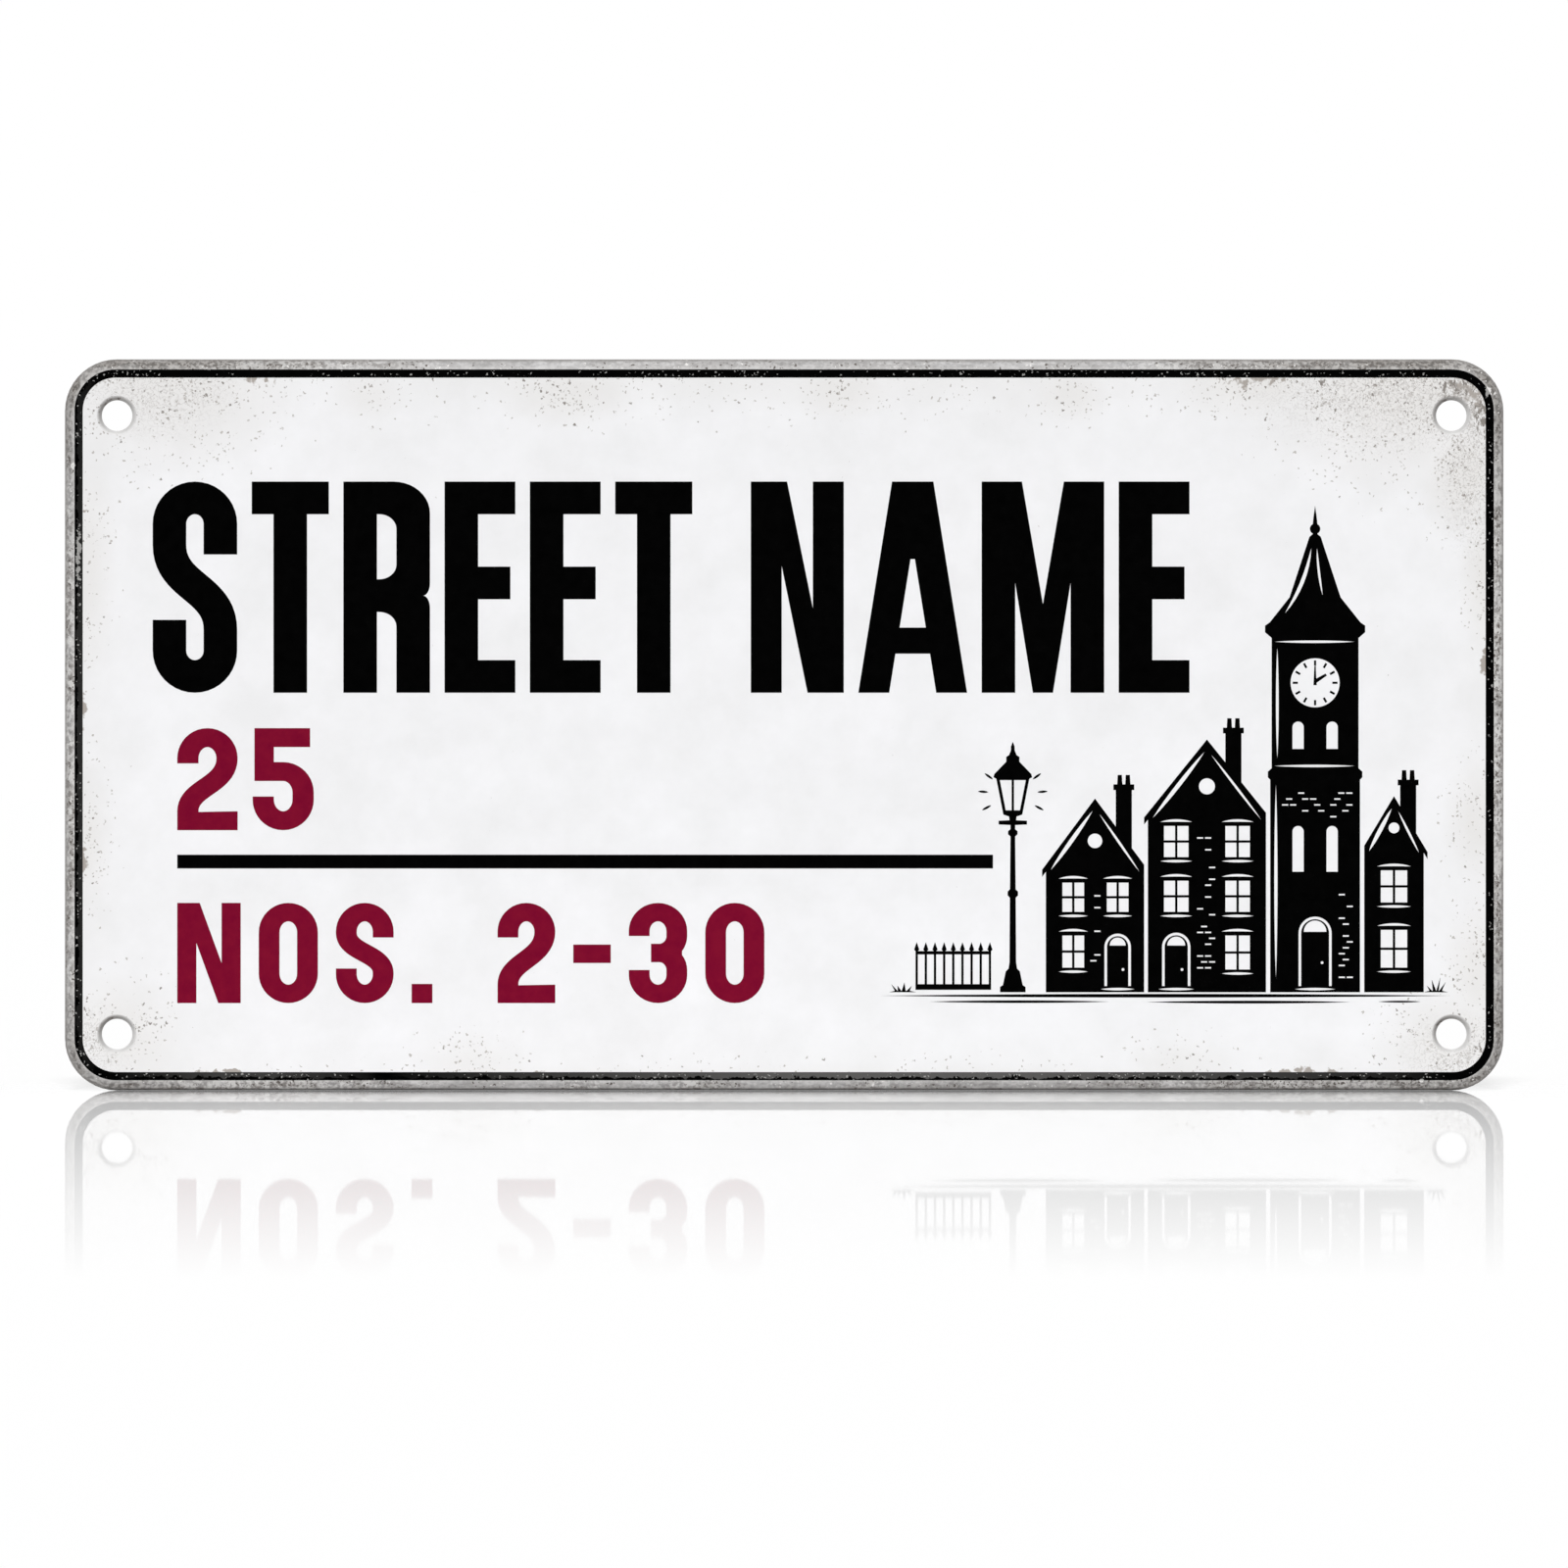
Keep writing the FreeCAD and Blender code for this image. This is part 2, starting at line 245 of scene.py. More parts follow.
def figure_5(width, height, stem, bar):
    low, bowl_x, shoulder = stem / 2, width / 2, 0.575 * height
    turn = ((width - stem) / 2, (width - bar) / 2)
    path = [(stem, shoulder), (bowl_x, shoulder)] + arc((bowl_x, shoulder - turn[1]), turn, 90, 0)[1:]
    path += arc((width / 2, width / 2), turn, 0, -180) + [(low, 0.33 * height)]
    left, right = oval_pen(path, stem, bar)
    back, crown = 0.03 * width, 0.94 * width
    flag = [(back, shoulder - bar / 2), (back, height), (crown, height), (crown, height - bar)]
    return [flag + [(stem, height - bar)] + left + right[::-1]]


def dash(width, height, stem, bar):
    return [box(0, 0.4 * height, width, 0.4 * height + bar)]


def full_stop(width, height, stem, bar):
    return [box(0, 0, stem, 0.92 * stem)]


# each character with its width, as a share of the height of the capitals
CHARACTERS = {
    "A": (letter_a, 0.515),
    "E": (letter_e, 0.335),
    "M": (letter_m, 0.580),
    "N": (letter_n, 0.440),
    "O": (letter_o, 0.410),
    "R": (letter_r, 0.410),
    "S": (letter_s, 0.400),
    "T": (letter_t, 0.365),
    "0": (letter_o, 0.410),
    "2": (figure_2, 0.400),
    "3": (figure_3, 0.405),
    "5": (figure_5, 0.405),
    "-": (dash, 0.260),
    ".": (full_stop, 0.170),
}


def lettering(words, left, right, bottom, top, stem, bar, broad=1.0, word_space=0.0):
    """The outlines of a line of lettering, spaced out to fill its length."""
    height = top - bottom
    widths = {c: CHARACTERS[c][1] * height * broad for c in words if c != " "}
    spaces = words.count(" ")
    letters = len(words) - spaces
    taken = sum(widths[c] for c in words if c != " ") + spaces * word_space
    gap = (right - left - taken) / (letters - 1 - spaces)
    outlines, x = [], left
    for c in words:
        if c == " ":
            x += word_space - gap
        else:
            outlines += [moved(o, x, bottom) for o in CHARACTERS[c][0](widths[c], height, stem, bar)]
            x += widths[c] + gap
    return outlines


# The street scene: black silhouettes with lit lines left open in them, in millimetres from the left
# end of the ground line.

ART_LEFT, ART_GROUND = 22.8, -56.6
LIGHT_LINE = 0.55


def sash_window(middle, bottom, width, height):
    """Four panes with a lintel above and a sill below, as lit shapes in a dark wall."""
    glazing_bar, sill_overhang, sill_drop = 0.5, 0.8, 0.85
    left, right, top = middle - width / 2, middle + width / 2, bottom + height
    half_bar, mid = glazing_bar / 2, bottom + height / 2
    panes = [
        box(x_low, z_low, x_high, z_high)
        for x_low, x_high in ((left, middle - half_bar), (middle + half_bar, right))
        for z_low, z_high in ((bottom, mid - half_bar), (mid + half_bar, top))
    ]
    sides = left - sill_overhang, right + sill_overhang
    sill = brush((sides[0], bottom - sill_drop), (sides[1], bottom - sill_drop), LIGHT_LINE)
    lintel = brush((sides[0], top + sill_drop), (sides[1], top + sill_drop), LIGHT_LINE, 0.3)
    return panes + [sill, lintel]


def front_door(middle, width, height):
    """The lit frame round a door, with its fanlight, its knob and the edge of its step."""
    foot, step, step_overhang, knob_radius = 1.3, 0.65, 0.8, 0.3
    half = width / 2
    spring = height - half
    inner, fan = half - LIGHT_LINE, half - 2 * LIGHT_LINE
    frame_line = [(middle - half, foot)] + arc((middle, spring), (half, half), 180, 0)
    frame_line += [(middle + half, foot), (middle + inner, foot)]
    frame_line += arc((middle, spring), (inner, inner), 0, 180) + [(middle - inner, foot)]
    fanlight = arc((middle, spring + LIGHT_LINE / 2), (fan, fan), 0, 180)
    knob = circle((middle + inner / 2, spring / 2), knob_radius)
    ends = middle - half - step_overhang, middle + half + step_overhang
    return [frame_line, fanlight, knob, brush((ends[0], step), (ends[1], step), LIGHT_LINE)]


def chimney(left, top, roof):
    """A stack with its cap and two pots, from its foot on the roof round to its other foot."""
    width, cap, cap_height, pot, pot_height = 3.4, 0.5, 1.2, 1.1, 2.0
    right = left + width
    outline = [(left, roof(left)), (left, top - cap_height)]
    outline += [(left - cap, top - cap_height), (left - cap, top)]
    for middle in (left + width / 4, right - width / 4):
        outline += [(middle - pot / 2, top), (middle - 0.4 * pot, top + pot_height)]
        outline += [(middle + 0.4 * pot, top + pot_height), (middle + pot / 2, top)]
    outline += [(right + cap, top), (right + cap, top - cap_height), (right, top - cap_height)]
    return outline + [(right, roof(right))]


def gabled_house(left, right, eaves, ridge, stack, stack_top, open_side):
    """A gable-fronted house with its chimney, its lit bargeboards and a round window.

    The roof runs out over the wall only on the open side, where no taller neighbour stands.
    """
    middle, overhang, board = (left + right) / 2, 0.8, 1.5
    pitch = (ridge - eaves) / (middle - left)

    def roof(x):
        return ridge - pitch * abs(x - middle)

    eave = [(board, 0), (board, overhang), (0, overhang)]
    wall_tops = []
    for side, wall in ((-1, left), (1, right)):
        if side == open_side:
            ends = [(wall + side * out, drop) for drop, out in eave]
            wall_tops.append([(x, roof(x) - drop) for x, drop in ends])
        else:
            wall_tops.append([(wall, roof(wall))])
    outline = [(left, 0)] + wall_tops[0] + [(middle, ridge)] + chimney(stack, stack_top, roof)
    outline += wall_tops[1][::-1] + [(right, 0)]
    under, inset, porthole = 2.3, 1.0, 0.11 * (ridge - eaves)
    lights = [
        brush((left + inset, eaves - 0.5 * under), (middle - 0.5, ridge - 1.13 * under), 0.9),
        brush((middle + 0.9, ridge - 1.4 * under), (right - inset, eaves - 0.65 * under), 0.5),
        circle((middle, eaves + 0.36 * (ridge - eaves)), porthole),
    ]
    return [outline] + lights


def bricks(left, bottom, right, top, seed):
    """Scattered courses of lit brick edges."""
    draw = random.Random(seed)
    brick, joint, course, edge, share = 1.7, 0.4, 1.25, 0.32, 0.42
    marks = []
    for row in range(int((top - bottom) / course)):
        z = bottom + course * row
        x = left + row % 2 * brick / 2
        while x + brick < right:
            if draw.random() < share:
                marks.append(box(x, z, x + brick - joint, z + edge))
            x += brick
    return marks


def street_lamp(middle):
    """A cast-iron lamp post with a ladder bar and a glazed lantern."""
    profile = [
        (2.7, 0), (2.7, 1.1), (2.1, 1.5), (1.5, 4.4), (0.9, 5.0), (0.7, 6.4), (0.62, 20.0), (1.1, 20.5),
        (1.1, 21.3), (0.6, 21.8), (0.5, 33.0), (1.0, 33.4), (1.0, 34.1), (0.5, 34.5), (0.5, 35.4),
        (3.0, 35.5), (3.0, 36.3), (0.7, 36.4), (0.8, 37.2), (2.0, 37.6), (3.5, 45.2), (4.1, 45.5),
        (3.9, 46.2), (1.4, 48.8), (1.4, 49.8), (0.8, 50.2), (0.4, 51.2), (0.4, 52.0), (0, 53.0),
    ]
    pane = [(0.25, 38.5), (1.5, 38.5), (2.75, 44.9), (0.25, 44.9)]
    panes = [[(middle + side * x, z) for x, z in pane] for side in (-1, 1)]
    return [mirrored(profile, middle)] + panes


def lamp_glow(middle):
    """Short rays to both sides of the lantern."""
    lantern, near, far = 42.0, 5.2, 7.4
    rays = []
    for side in (-1, 1):
        for degrees in (-28, 4, 36):
            across, up = side * math.cos(math.radians(degrees)), math.sin(math.radians(degrees))
            ends = [(middle + reach * across, lantern + reach * up) for reach in (near, far)]
            rays.append([brush(*ends, 0.5)])
    return rays


def clock_face(centre, radius):
    """A lit dial with twelve hour marks and two hands."""
    tick, tick_half, margin = 1.1, 0.23, 0.45
    marks = []
    for hour in range(12):
        angle = math.radians(30 * hour)
        out, side = (math.cos(angle), math.sin(angle)), (-math.sin(angle), math.cos(angle))
        near, far = radius - margin - tick, radius - margin
        corners = [(far, 1), (far, -1), (near, -1), (near, 1)]
        marks.append([
            tuple(centre[axis] + reach * out[axis] + turn * tick_half * side[axis] for axis in (0, 1))
            for reach, turn in corners
        ])
    hands = [(-0.35, -0.5), (0.35, -0.5), (0.3, 0.0), (2.5, 1.55)]
    hands += [(2.2, 1.95), (0.25, 0.9), (0.15, 3.6), (-0.15, 3.6)]
    return [circle(centre, radius), moved(hands, *centre)] + marks


def clock_tower(middle):
    """A square brick tower with a clock, arched openings and a slated spire."""
    profile = [
        (9.5, 0), (9.5, 45.0), (10.0, 45.5), (10.0, 46.7), (9.2, 47.4), (9.2, 75.0), (10.6, 76.2),
        (10.6, 77.6), (9.6, 78.3), (5.4, 83.6), (1.2, 96.4), (0.5, 97.0),
    ]
    profile += arc((0.0, 98.1), (1.1, 1.1), -63, 63) + [(0.3, 100.9), (0, 103.0)]
    lights = clock_face((middle, 65.5), 5.2)
    for ledge in (47.9, 74.2):
        lights.append(brush((middle - 8.7, ledge), (middle + 8.4, ledge), LIGHT_LINE))
    slit, slit_offset = 1.2, 3.6
    for sill, height in ((25.5, 8.5), (51.5, 4.6)):
        for centre in (middle - slit_offset, middle + slit_offset):
            head = arc((centre, sill + height), (slit, slit), 180, 0)
            lights.append([(centre - slit, sill)] + head + [(centre + slit, sill)])
    lights.append(brush((middle - 8.3, 3.0), (middle - 8.3, 44.0), 0.7))
    lights.append(brush((middle - 8.0, 49.5), (middle - 8.0, 73.0), 0.6))
    lights.append(brush((middle - 6.4, 80.2), (middle - 0.8, 94.0), 0.8, -0.9))
    lights.append(brush((middle + 1.6, 84.0), (middle + 0.4, 94.0), 0.5, 0.2))
    lights += front_door(middle, 7.0, 16.0)
    lights += bricks(middle - 7.0, 37.0, middle + 8.6, 43.6, 5)
    lights += bricks(middle + 5.0, 3.0, middle + 8.8, 22.0, 7)
    return [mirrored(profile, middle)] + lights


def railings(left, right):
    """Spear-topped iron railings between two rails."""
    bar, foot, low, high, spacing = 0.5, 0.5, 1.7, 8.0, 1.95
    spear = [(bar, 0.7), (bar + 0.3, 1.0), (bar / 2, 2.6), (-0.3, 1.0), (0, 0.7)]
    count = round((right - left) / spacing)
    starts = [left + (right - left - bar) * index / count for index in range(count + 1)]
    outline = [(left, foot), (right, foot)]
    for start in reversed(starts):
        outline += moved(spear, start, high)
    return [outline] + [box(near + bar, low, far, high) for near, far in zip(starts, starts[1:])]


def grass(left, right, tallest, seed):
    """A tuft of grass whose blades lean away from its middle."""
    draw = random.Random(seed)
    foot, runner = 0.3, 1.2
    outline, x = [(left - runner, 0)], left
    while x < right:
        blade = draw.uniform(0.5, 0.85)
        lean = 2 * (x - left) / (right - left) - 1
        height = tallest * draw.uniform(0.45, 1.0) * (1 - 0.55 * abs(lean))
        outline += [(x, foot), (x + blade / 2 + 0.6 * lean * height, height), (x + blade, foot)]
        x += blade + draw.uniform(0.02, 0.3)
    return [outline + [(x + runner, 0)]]


def street_scene():
    """Terraced houses round a clock tower, with a lamp, railings and grass, as separate silhouettes."""
    cottage = gabled_house(32.6, 53.4, 27.0, 41.0, 47.4, 44.0, open_side=-1)
    for middle in (38.4, 47.8):
        cottage += sash_window(middle, 17.0, 4.6, 6.2)
    cottage += sash_window(38.4, 5.2, 4.6, 6.8) + front_door(47.8, 5.6, 12.4)
    cottage += bricks(42.0, 4.0, 44.6, 24.0, 2)

    terrace = gabled_house(54.2, 79.2, 38.0, 53.5, 70.6, 56.0, open_side=-1)
    for middle in (60.2, 73.2):
        for bottom in (17.0, 28.6):
            terrace += sash_window(middle, bottom, 5.2, 6.6)
    terrace += sash_window(73.2, 4.8, 5.2, 7.2) + front_door(60.2, 6.0, 12.6)
    terrace += bricks(64.6, 5.0, 68.9, 34.0, 4)

    corner_house = gabled_house(100.0, 112.6, 31.0, 41.5, 107.6, 45.0, open_side=1)
    corner_house += sash_window(106.3, 19.0, 5.6, 6.8) + sash_window(106.3, 5.2, 5.6, 8.0)

    ground = [
        [brush((start, z), (end, z), thickness)]
        for start, end, z, thickness in (
            (-2.5, 118.0, -0.75, 0.75),
            (8.0, 46.0, -2.0, 0.55),
            (54.0, 97.0, -2.1, 0.6),
            (103.0, 112.0, -2.0, 0.4),
        )
    ]
    silhouettes = [cottage, terrace, clock_tower(89.6), corner_house]
    silhouettes += [street_lamp(25.6), railings(5.0, 21.0)]
    silhouettes += [grass(0.6, 3.2, 4.0, 8), grass(113.8, 116.0, 4.2, 3)]
    silhouettes += lamp_glow(25.6) + ground
    return [moved(o, ART_LEFT, ART_GROUND) for silhouette in silhouettes for o in silhouette]


# Materials


def linear(hex_colour):
    """An sRGB hex colour as linear light, with full opacity."""
    shares = [int(hex_colour[i : i + 2], 16) / 255 for i in (1, 3, 5)]
    light = [s / 12.92 if s <= 0.04045 else ((s + 0.055) / 1.055) ** 2.4 for s in shares]
    return (*light, 1.0)


# The sockets of a Mix node when it lays one colour over another. Those of a Map Range node stay
# numbers: 0 is the value, which goes from 1 to 2, and what comes out goes from 3 to 4.
SHARE, UNDER, OVER = 0, 6, 7
COLOURS = {"output": 2, "data_type": "RGBA"}


def add(tree, kind, inputs, output=0, **settings):
    """Add a node with its settings, fill its sockets with values or links, and give one output."""
    node = tree.nodes.new("ShaderNode" + kind)
    for name, value in settings.items():
        setattr(node, name, value)
    for key, value in inputs.items():
        if isinstance(value, bpy.types.NodeSocket):
            tree.links.new(value, node.inputs[key])
        else:
            node.inputs[key].default_value = value
    return node.outputs[output]


def new_material(name):
    material = bpy.data.materials.new(name)
    material.use_nodes = True
    material.node_tree.nodes.clear()
    return material, material.node_tree


def give_surface(tree, shader):
    output = tree.nodes.new("ShaderNodeOutputMaterial")
    tree.links.new(shader, output.inputs["Surface"])


def millimetres(tree):
    """The place on the sign in the frame's axes, in millimetres."""
    place = add(tree, "TexCoord", {}, "Object")
    return add(tree, "VectorMath", {0: place, "Scale": 1 / MM}, operation="SCALE")


def inset_from_edge(tree, place):
    """How far a place lies inside the sign's outline, in millimetres, round its corners too."""
    core = (WIDTH / 2 - CORNER_RADIUS, 0.0, HEIGHT / 2 - CORNER_RADIUS)
    folded = add(tree, "VectorMath", {0: place}, operation="ABSOLUTE")
    flat = add(tree, "VectorMath", {0: folded, 1: (1.0, 0.0, 1.0)}, operation="MULTIPLY")
    beyond = add(tree, "VectorMath", {0: flat, 1: core}, operation="SUBTRACT")
    outside = add(tree, "VectorMath", {0: beyond, 1: (0.0, 0.0, 0.0)}, operation="MAXIMUM")
    radial = add(tree, "VectorMath", {0: outside}, "Value", operation="LENGTH")
    beyond_x = add(tree, "SeparateXYZ", {0: beyond}, "X")
    beyond_z = add(tree, "SeparateXYZ", {0: beyond}, "Z")
    nearest = add(tree, "Math", {0: beyond_x, 1: beyond_z}, operation="MAXIMUM")
    inside = add(tree, "Math", {0: nearest, 1: 0.0}, operation="MINIMUM")
    reach = add(tree, "Math", {0: radial, 1: inside}, operation="ADD")
    return add(tree, "Math", {0: CORNER_RADIUS, 1: reach}, operation="SUBTRACT")


# Worn places, and where the border line gets a painted sheen, as ovals: middle x and z, half width
# and half height in millimetres, and strength.
SPECKLED_AREAS = [
    (0, 74, 170, 13, 0.4),
    (-130, 71, 36, 24, 0.8),
    (-88, 70, 12, 9, 0.6),
    (-46, 70.5, 22, 10, 0.75),
    (12, 71, 16, 9, 0.75),
    (61, 70, 12, 9, 0.7),
    (100, 72.5, 24, 11, 0.85),
    (133, 73, 46, 30, 1),
    (144, 54, 13, 20, 0.95),
    (149, 32, 8, 24, 0.85),
    (147, -20, 10, 18, 0.75),
    (147, -52, 11, 18, 0.75),
    (-148, 34, 9, 34, 0.75),
    (-149, -24, 9, 24, 0.75),
    (-141, -65, 18, 17, 0.8),
    (141, -67, 22, 16, 0.8),
    (-66, -72, 18, 11, 0.55),
    (84, -72, 18, 9, 0.5),
    (10, -76, 160, 8, 0.45),
]
CRAZED_AREAS = [
    (128, 73, 34, 18, 0.6),
    (145, 69, 12, 14, 1),
    (146, 54, 9, 22, 0.55),
    (-133, 71, 20, 12, 0.45),
    (-146, -68, 9, 10, 0.5),
    (143, -70, 14, 10, 0.6),
]
FLAKED_AREAS = [
    (100, 73.7, 15, 7, 1),
    (144, 70, 13, 14, 1),
    (-110, 73.7, 9, 5, 0.9),
    (149, 12.5, 4.5, 6.5, 1.3),
    (-148.9, -29, 4, 7, 1.1),
    (-148.9, 4, 3.5, 8, 1.2),
    (-148.9, 45, 3, 8, 1),
    (110, -74, 22, 4.5, 1),
    (131, -73.8, 6, 4, 0.85),
    (-118, -74, 18, 4, 0.95),
    (-50, -74, 14, 3, 0.8),
]
SCRATCHED_AREAS = [
    (142, 71.6, 11, 4.5, 1),
    (147.4, 65.5, 4.5, 11, 1),
    (113, 72.4, 11, 3.5, 0.8),
    (149.2, 28, 2.2, 32, 0.7),
    (-148.6, -62, 4, 15, 0.75),
    (-149.2, 26, 2, 40, 0.6),
    (147.5, -68, 4, 8, 0.8),
]
DIRTY_EDGES = [
    (0, 77.5, 170, 6, 0.35),
    (-122, 77.5, 70, 12, 0.95),
    (122, 77.5, 76, 14, 1),
    (0, -77.5, 220, 12, 0.3),
    (-116, -77.5, 62, 12, 1),
    (-43, -77.5, 9, 9, 0.85),
    (-20, -77.5, 18, 9, 0.9),
    (19, -77.5, 9, 9, 0.8),
    (120, -77.5, 76, 14, 1),
    (-152.5, 0, 10, 150, 0.8),
    (152.5, 0, 10, 160, 1),
]
GRIMY_CORNERS = [
    (-146, 76, 52, 28, 1.2),
    (140, 76, 66, 38, 1.2),
    (148, -64, 56, 42, 0.8),
    (-148, -74, 30, 22, 0.95),
    # the last one is no corner: a faint darkening along the middle and right of the rim's bottom
    (60, -77.5, 110, 9, 0.3),
]
# where the border line gets its painted sheen
LINE_SHEEN_AREAS = [
    (28, -74.5, 112, 12, 0.8),
    (-114, -74.5, 28, 8, 0.35),
    (-149.5, 0, 5, 110, 0.18),
]
CHIPPED_PLACES = [
    (149, 70.6, 1.6, 2.2, 1),
    (-150.6, 54.8, 1.4, 1.8, 0.9),
    (-149.4, 36, 1.6, 18, 0.88),
    (135, -75.4, 1.4, 1.6, 0.9),
]


def share_in_areas(tree, place, areas):
    """How much a place belongs to any of the areas: full in their middles, none outside them."""
    core, share = 0.2, 0.0
    for x, z, half_width, half_height, strength in areas:
        scale = (1 / half_width, 0.0, 1 / half_height)
        middle = (x / half_width, 0.0, z / half_height)
        scaled = add(tree, "VectorMath", {0: place, 1: scale}, operation="MULTIPLY")
        distance = add(tree, "VectorMath", {0: scaled, 1: middle}, "Value", operation="DISTANCE")
        area = add(tree, "MapRange", {0: distance, 1: core, 2: 1.0, 3: strength, 4: 0.0})
        share = add(tree, "Math", {0: share, 1: area}, operation="MAXIMUM")
    return share


def clouds(tree, place, grain, detail, roughness, low, high, least=0.0, most=1.0):
    """Noise of a given grain in millimetres, drawn out so that low gives least and high gives most."""
    inputs = {"Vector": place, "Scale": 1 / grain, "Detail": detail, "Roughness": roughness}
    noise = add(tree, "TexNoise", inputs)
    return add(tree, "MapRange", {0: noise, 1: low, 2: high, 3: least, 4: most})


def patches(tree, place, share, grain, rare, common, edge=0.03):
    """A mask of ragged patches of a given grain in millimetres, which cover more where share is high.

    rare and common are the noise levels above which a patch shows where share is 0 and where it is 1.
    """
    inputs = {"Vector": place, "Scale": 1 / grain, "Detail": 3.0, "Roughness": 0.55}
    noise = add(tree, "TexNoise", inputs)
    level = add(tree, "MapRange", {0: share, 1: 0.0, 2: 1.0, 3: rare, 4: common})
    above = add(tree, "Math", {0: noise, 1: level}, operation="SUBTRACT")
    return add(tree, "MapRange", {0: above, 1: 0.0, 2: edge, 3: 0.0, 4: 1.0})


def ragged(tree, place):
    """The place moved about by a millimetre or less, so that what is drawn there gets ragged edges."""
    waves_per_mm, reach, no_move = 1.6, 1.15, (0.5, 0.5, 0.5)
    bend = add(tree, "TexNoise", {"Vector": place, "Scale": waves_per_mm, "Detail": 2.0}, "Color")
    bend = add(tree, "VectorMath", {0: bend, 1: no_move}, operation="SUBTRACT")
    bend = add(tree, "VectorMath", {0: bend, "Scale": reach}, operation="SCALE")
    return add(tree, "VectorMath", {0: place, 1: bend}, operation="ADD")


def specks(tree, bent, share, spacing, radius):
    """A mask of small uneven specks, at most one to a cell. share says in how many of the cells."""
    cell = add(tree, "TexVoronoi", {"Vector": bent, "Scale": 1 / spacing}, "Color")
    distance = cell.node.outputs["Distance"]
    chance = add(tree, "SeparateXYZ", {0: cell}, "X")
    size = add(tree, "SeparateXYZ", {0: cell}, "Y")
    largest = radius / spacing
    smallest = 0.45 * largest
    reach = add(tree, "MapRange", {0: size, 1: 0.0, 2: 1.0, 3: smallest, 4: largest})
    inside = add(tree, "Math", {0: reach, 1: distance}, operation="SUBTRACT")
    inside = add(tree, "MapRange", {0: inside, 1: -0.04, 2: 0.08, 3: 0.0, 4: 1.0})
    shown = add(tree, "Math", {0: chance, 1: share}, operation="LESS_THAN")
    return add(tree, "Math", {0: inside, 1: shown}, operation="MULTIPLY")


def worn_white(tree, place, bent, inset):
    """The face's white, with where it is worn: clouded, speckled and crazed, and flaked at the line."""
    clouded = clouds(tree, place, grain=14.0, detail=4.0, roughness=0.65, low=0.3, high=0.7)
    inputs = {SHARE: clouded, UNDER: linear("#EAEAEB"), OVER: linear("#F2F2F4")}
    white = add(tree, "Mix", inputs, **COLOURS)
    handled = add(tree, "MapRange", {0: inset, 1: 4.0, 2: 13.0, 3: 0.16, 4: 0.0})

    worn = share_in_areas(tree, place, SPECKLED_AREAS)
    dull = add(tree, "MapRange", {0: worn, 1: 0.2, 2: 1.0, 3: 0.0, 4: 0.6})
    cluster = clouds(tree, place, grain=7.0, detail=3.0, roughness=0.6, low=0.42, high=0.57, least=0.35)
    worn = add(tree, "Math", {0: worn, 1: cluster}, operation="MULTIPLY")
    crumbs = patches(tree, bent, worn, grain=0.85, rare=0.76, common=0.6, edge=0.05)
    faint = add(tree, "Math", {0: worn, 1: 0.65}, operation="MULTIPLY")
    faint = specks(tree, bent, faint, spacing=0.8, radius=0.36)
    dark = add(tree, "Math", {0: worn, 1: worn}, operation="MULTIPLY")
    dark = specks(tree, bent, dark, spacing=1.2, radius=0.43)

    # fine cracks run where a noise passes through its middle level
    crazed = share_in_areas(tree, place, CRAZED_AREAS)
    grime = patches(tree, place, crazed, grain=1.6, rare=0.8, common=0.4, edge=0.3)
    inputs = {"Vector": place, "Scale": 1 / 1.15, "Detail": 2.0, "Roughness": 0.6}
    cracks = add(tree, "TexNoise", inputs)
    cracks = add(tree, "Math", {0: cracks, 1: 0.5}, operation="SUBTRACT")
    cracks = add(tree, "Math", {0: cracks}, operation="ABSOLUTE")
    cracks = add(tree, "MapRange", {0: cracks, 1: 0.008, 2: 0.034, 3: 0.85, 4: 0.0})
    cracks = add(tree, "Math", {0: cracks, 1: crazed}, operation="MULTIPLY")

    upright = add(tree, "VectorMath", {0: place, 1: (1.0, 1.0, 0.45)}, operation="MULTIPLY")
    scratched = share_in_areas(tree, place, SCRATCHED_AREAS)
    scratches = patches(tree, upright, scratched, grain=0.75, rare=0.85, common=0.47, edge=0.05)

    flaking = share_in_areas(tree, place, FLAKED_AREAS)
    at_line = add(tree, "MapRange", {0: inset, 1: 3.6, 2: 9.0, 3: 1.0, 4: 0.5})
    flaking = add(tree, "Math", {0: flaking, 1: at_line}, operation="MULTIPLY")
    flakes = patches(tree, place, flaking, grain=1.9, rare=0.92, common=0.4, edge=0.08)

    layers = [
        (handled, "#DCDBD8"),
        (dull, "#DDDAD6"),
        (grime, "#A8A29D"),
        (cracks, "#8E8883"),
        (scratches, "#837D78"),
        (crumbs, "#A09A95"),
        (faint, "#B9B5B1"),
        (dark, "#88837E"),
        (flakes, "#A69F99"),
    ]
    for share, colour in layers:
        white = add(tree, "Mix", {SHARE: share, UNDER: white, OVER: linear(colour)}, **COLOURS)
    return white, add(tree, "Math", {0: dark, 1: flakes}, operation="MAXIMUM")


def chipped_places(tree, place):
    """The larger chips in the border line and beside it."""
    chipped = share_in_areas(tree, place, CHIPPED_PLACES)
    return patches(tree, place, chipped, grain=0.9, rare=1.0, common=0.35)


